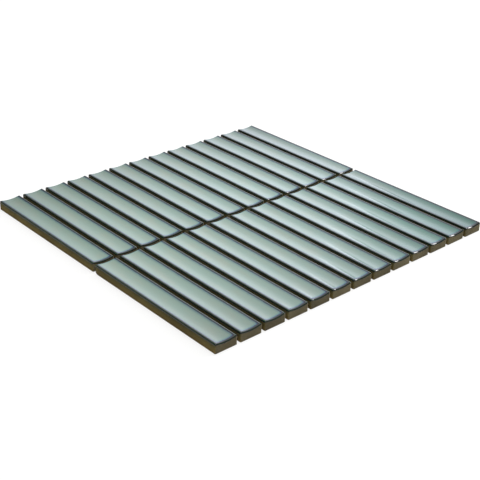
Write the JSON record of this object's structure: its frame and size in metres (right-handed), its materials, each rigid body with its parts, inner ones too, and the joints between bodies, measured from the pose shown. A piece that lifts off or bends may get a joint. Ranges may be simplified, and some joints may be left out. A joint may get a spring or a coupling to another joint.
{
  "type": "mosaic tile sheet",
  "caption": "Sheet of long glazed stoneware tiles with hollowed faces, laid in a grid with open joints and held at the back by a net of glass yarns.",
  "frame": {"origin": "middle of the sheet's underside, on the plane that the net lies on", "axes": "+Z out of the glazed faces, +X along the tiles from the left column to the right, +Y across them from row 01 to row 13"},
  "size_m": [0.293, 0.296, 0.0084],
  "materials": {
    "glazed_stoneware": "glossy sage-green glaze over bare brown stoneware sides",
    "glass_yarn": "resin-coated white glass yarn"
  },
  "bodies": {
    "root": {"tile_left_01": "glazed_stoneware", "tile_left_02": "glazed_stoneware", "tile_left_03": "glazed_stoneware", "tile_left_04": "glazed_stoneware", "tile_left_05": "glazed_stoneware", "tile_left_06": "glazed_stoneware", "tile_left_07": "glazed_stoneware", "tile_left_08": "glazed_stoneware", "tile_left_09": "glazed_stoneware", "tile_left_10": "glazed_stoneware", "tile_left_11": "glazed_stoneware", "tile_left_12": "glazed_stoneware", "tile_left_13": "glazed_stoneware", "tile_right_01": "glazed_stoneware", "tile_right_02": "glazed_stoneware", "tile_right_03": "glazed_stoneware", "tile_right_04": "glazed_stoneware", "tile_right_05": "glazed_stoneware", "tile_right_06": "glazed_stoneware", "tile_right_07": "glazed_stoneware", "tile_right_08": "glazed_stoneware", "tile_right_09": "glazed_stoneware", "tile_right_10": "glazed_stoneware", "tile_right_11": "glazed_stoneware", "tile_right_12": "glazed_stoneware", "tile_right_13": "glazed_stoneware", "net_weft": "glass_yarn", "net_warp": "glass_yarn"}
  },
  "joints": []
}
